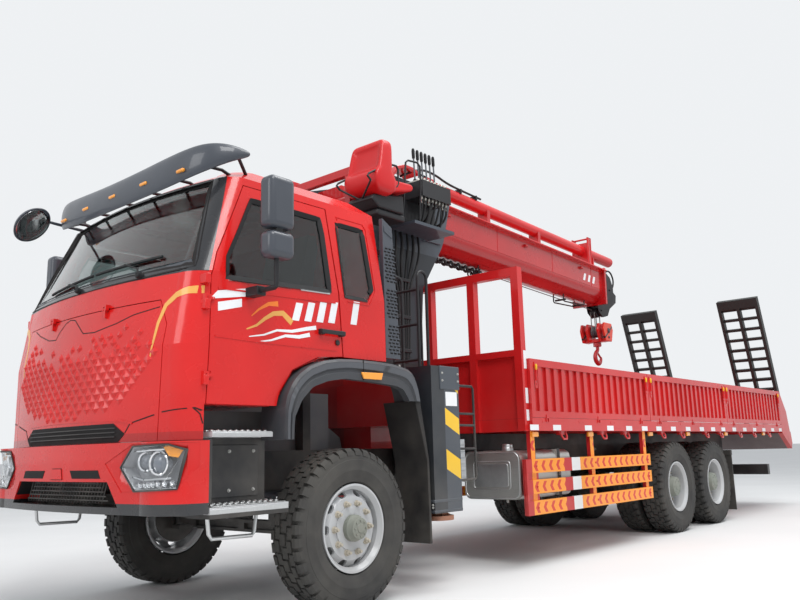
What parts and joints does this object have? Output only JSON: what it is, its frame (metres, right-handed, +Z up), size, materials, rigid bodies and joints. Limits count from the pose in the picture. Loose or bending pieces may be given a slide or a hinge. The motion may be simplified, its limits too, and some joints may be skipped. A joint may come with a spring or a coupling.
{
  "type": "truck-mounted loader crane",
  "caption": "Three axle dropside truck with a telescopic loader crane behind the cab, outriggers and folding tail ramps.",
  "frame": {"origin": "on the ground under the middle of the overall box", "axes": "+X forward, +Y to the left side, +Z up"},
  "size_m": [12.3464, 3, 3.9735],
  "materials": {
    "cab_red": "gloss red paint",
    "crane_red": "gloss deep red paint",
    "frame_black": "satin black paint",
    "grey_plastic": "grained dark grey moulding",
    "steel_grey": "satin slate grey paint",
    "tyre": "black rubber",
    "rim_silver": "silver wheel paint",
    "glass": "green tinted clear",
    "tank": "brushed",
    "lamp": "clear lamp cover",
    "seat_red": "moulded red shell",
    "guard_orange": "orange paint",
    "rod_chrome": "polished",
    "interior": "dark trim",
    "engine": "painted casting"
  },
  "bodies": {
    "chassis": {"axles_and_springs": "frame_black", "bed": "crane_red", "bumper": "cab_red", "cab_glass": "glass", "cab_interior": "interior", "cab_shell": "cab_red", "cab_trim": "grey_plastic", "chassis_frame": "frame_black", "crane_base": "crane_red", "engine_and_gearbox": "engine", "headboard": "crane_red", "headlamps": "lamp", "side_guards": "guard_orange", "steps": "grey_plastic", "tank_and_boxes": "tank", "wheel_arches": "grey_plastic"},
    "door_left": {"door_left": "cab_red", "door_glass_left": "glass", "mirror_left": "grey_plastic"},
    "door_right": {"door_right": "cab_red", "door_glass_right": "glass", "mirror_right": "grey_plastic"},
    "front_panel": {"front_panel": "cab_red"},
    "knuckle_left": {"knuckle_left": "frame_black"},
    "knuckle_right": {"knuckle_right": "frame_black"},
    "front_wheel_left": {"front_tyre_left": "tyre", "front_rim_left": "rim_silver"},
    "front_wheel_right": {"front_tyre_right": "tyre", "front_rim_right": "rim_silver"},
    "outrigger_beam_left": {"outrigger_beam_left": "steel_grey"},
    "outrigger_beam_right": {"outrigger_beam_right": "steel_grey"},
    "outrigger_leg_left": {"outrigger_leg_left": "rod_chrome"},
    "outrigger_leg_right": {"outrigger_leg_right": "rod_chrome"},
    "column": {"crane_column": "steel_grey", "operator_seat": "seat_red", "control_levers": "frame_black"},
    "lift_barrel": {"lift_barrel": "frame_black"},
    "lift_rod": {"lift_rod": "rod_chrome"},
    "boom": {"boom_section_1": "crane_red"},
    "section_2": {"boom_section_2": "frame_black"},
    "section_3": {"boom_section_3": "frame_black"},
    "section_4": {"boom_section_4": "frame_black"},
    "boom_head": {"boom_head": "frame_black"},
    "hook_block": {"hook_block": "crane_red"},
    "ramp_left": {"ramp_left": "frame_black"},
    "ramp_right": {"ramp_right": "frame_black"},
    "middle_wheel_left": {"middle_tyres_left": "tyre", "middle_rims_left": "rim_silver"},
    "middle_wheel_right": {"middle_tyres_right": "tyre", "middle_rims_right": "rim_silver"},
    "rear_wheel_left": {"rear_tyres_left": "tyre", "rear_rims_left": "rim_silver"},
    "rear_wheel_right": {"rear_tyres_right": "tyre", "rear_rims_right": "rim_silver"},
    "dropside_front_left": {"dropside_front_left": "crane_red"},
    "dropside_front_right": {"dropside_front_right": "crane_red"},
    "dropside_middle_left": {"dropside_middle_left": "crane_red"},
    "dropside_middle_right": {"dropside_middle_right": "crane_red"},
    "dropside_rear_left": {"dropside_rear_left": "crane_red"},
    "dropside_rear_right": {"dropside_rear_right": "crane_red"}
  },
  "joints": [
    {"name": "steer_left", "type": "hinge", "parent": "chassis", "child": "knuckle_left", "pos_m": [4.51471, 0.88, 0.542], "axis": [0, 0, 1], "range_deg": [-36, 36]},
    {"name": "front_wheel_left_roll", "type": "hinge", "parent": "knuckle_left", "child": "front_wheel_left", "pos_m": [4.51471, 1.065, 0.542], "axis": [0, 1, 0], "continuous": true},
    {"name": "middle_wheel_left_roll", "type": "hinge", "parent": "chassis", "child": "middle_wheel_left", "pos_m": [-1.18529, 1.075, 0.542], "axis": [0, 1, 0], "continuous": true},
    {"name": "rear_wheel_left_roll", "type": "hinge", "parent": "chassis", "child": "rear_wheel_left", "pos_m": [-2.48529, 1.075, 0.542], "axis": [0, 1, 0], "continuous": true},
    {"name": "door_left_swing", "type": "hinge", "parent": "chassis", "child": "door_left", "pos_m": [5.74671, 1.182, 1.7], "axis": [0, 0, -1], "range_deg": [0, 68]},
    {"name": "outrigger_left_extend", "type": "slide", "parent": "chassis", "child": "outrigger_beam_left", "axis": [0, 1, 0], "range_m": [0, 1.7]},
    {"name": "outrigger_leg_left_lower", "type": "slide", "parent": "outrigger_beam_left", "child": "outrigger_leg_left", "axis": [0, 0, -1], "range_m": [0, 0.5]},
    {"name": "dropside_front_left_fold", "type": "hinge", "parent": "chassis", "child": "dropside_front_left", "pos_m": [0.90088, 1.256, 1.326], "axis": [-1, 0, 0], "range_deg": [0, 178]},
    {"name": "dropside_middle_left_fold", "type": "hinge", "parent": "chassis", "child": "dropside_middle_left", "pos_m": [-1.72279, 1.256, 1.326], "axis": [-1, 0, 0], "range_deg": [0, 178]},
    {"name": "dropside_rear_left_fold", "type": "hinge", "parent": "chassis", "child": "dropside_rear_left", "pos_m": [-4.34646, 1.256, 1.326], "axis": [-1, 0, 0], "range_deg": [0, 178]},
    {"name": "ramp_left_fold", "type": "hinge", "parent": "chassis", "child": "ramp_left", "pos_m": [-6.10529, 0.882, 1.175], "axis": [0, -1, 0], "range_deg": [0, 138.5]},
    {"name": "steer_right", "type": "hinge", "parent": "chassis", "child": "knuckle_right", "pos_m": [4.51471, -0.88, 0.542], "axis": [0, 0, 1], "range_deg": [-36, 36]},
    {"name": "front_wheel_right_roll", "type": "hinge", "parent": "knuckle_right", "child": "front_wheel_right", "pos_m": [4.51471, -1.065, 0.542], "axis": [0, 1, 0], "continuous": true},
    {"name": "middle_wheel_right_roll", "type": "hinge", "parent": "chassis", "child": "middle_wheel_right", "pos_m": [-1.18529, -1.075, 0.542], "axis": [0, 1, 0], "continuous": true},
    {"name": "rear_wheel_right_roll", "type": "hinge", "parent": "chassis", "child": "rear_wheel_right", "pos_m": [-2.48529, -1.075, 0.542], "axis": [0, 1, 0], "continuous": true},
    {"name": "door_right_swing", "type": "hinge", "parent": "chassis", "child": "door_right", "pos_m": [5.74671, -1.182, 1.7], "axis": [0, 0, 1], "range_deg": [0, 68]},
    {"name": "outrigger_right_extend", "type": "slide", "parent": "chassis", "child": "outrigger_beam_right", "axis": [0, -1, 0], "range_m": [0, 1.7]},
    {"name": "outrigger_leg_right_lower", "type": "slide", "parent": "outrigger_beam_right", "child": "outrigger_leg_right", "axis": [0, 0, -1], "range_m": [0, 0.5]},
    {"name": "dropside_front_right_fold", "type": "hinge", "parent": "chassis", "child": "dropside_front_right", "pos_m": [0.90088, -1.256, 1.326], "axis": [1, 0, 0], "range_deg": [0, 178]},
    {"name": "dropside_middle_right_fold", "type": "hinge", "parent": "chassis", "child": "dropside_middle_right", "pos_m": [-1.72279, -1.256, 1.326], "axis": [1, 0, 0], "range_deg": [0, 178]},
    {"name": "dropside_rear_right_fold", "type": "hinge", "parent": "chassis", "child": "dropside_rear_right", "pos_m": [-4.34646, -1.256, 1.326], "axis": [1, 0, 0], "range_deg": [0, 178]},
    {"name": "ramp_right_fold", "type": "hinge", "parent": "chassis", "child": "ramp_right", "pos_m": [-6.10529, -0.882, 1.175], "axis": [0, -1, 0], "range_deg": [0, 138.5]},
    {"name": "front_panel_lift", "type": "hinge", "parent": "chassis", "child": "front_panel", "pos_m": [5.96671, 0, 2.014], "axis": [0, -1, 0], "range_deg": [0, 70]},
    {"name": "slew", "type": "hinge", "parent": "chassis", "child": "column", "pos_m": [3.01471, 0, 1.745], "axis": [0, 0, 1], "continuous": true},
    {"name": "boom_lift", "type": "hinge", "parent": "column", "child": "boom", "pos_m": [3.36471, 0, 3.43], "axis": [0, 1, 0], "range_deg": [0, 77]},
    {"name": "extend_2", "type": "slide", "parent": "boom", "child": "section_2", "axis": [-0.9994, 0, -0.0349], "range_m": [0, 3]},
    {"name": "extend_3", "type": "slide", "parent": "section_2", "child": "section_3", "axis": [-0.9994, 0, -0.0349], "range_m": [0, 3]},
    {"name": "extend_4", "type": "slide", "parent": "section_3", "child": "section_4", "axis": [-0.9994, 0, -0.0349], "range_m": [0, 3]},
    {"name": "extend_5", "type": "slide", "parent": "section_4", "child": "boom_head", "axis": [-0.9994, 0, -0.0349], "range_m": [0, 3]},
    {"name": "hook_hang", "type": "hinge", "parent": "boom_head", "child": "hook_block", "pos_m": [-1.70068, 0, 2.92291], "axis": [0, -1, 0], "range_deg": [0, 77]},
    {"name": "lift_swing", "type": "hinge", "parent": "column", "child": "lift_barrel", "pos_m": [2.91471, 0, 1.915], "axis": [0, 1, 0], "range_deg": [-0.1, 9.6]},
    {"name": "lift_stroke", "type": "slide", "parent": "lift_barrel", "child": "lift_rod", "axis": [-0.2066, 0, 0.9784], "range_m": [0, 0.9527]}
  ],
  "couplings": [
    {"joint": "steer_right", "follows": "steer_left", "ratio": 1},
    {"joint": "lift_swing", "follows": "boom_lift", "ratio": 0.12341},
    {"joint": "lift_stroke", "follows": "boom_lift", "m_per_rad": 0.7082},
    {"joint": "hook_hang", "follows": "boom_lift", "ratio": 1},
    {"joint": "extend_3", "follows": "extend_2", "ratio": 1},
    {"joint": "extend_4", "follows": "extend_2", "ratio": 1},
    {"joint": "extend_5", "follows": "extend_2", "ratio": 1}
  ]
}
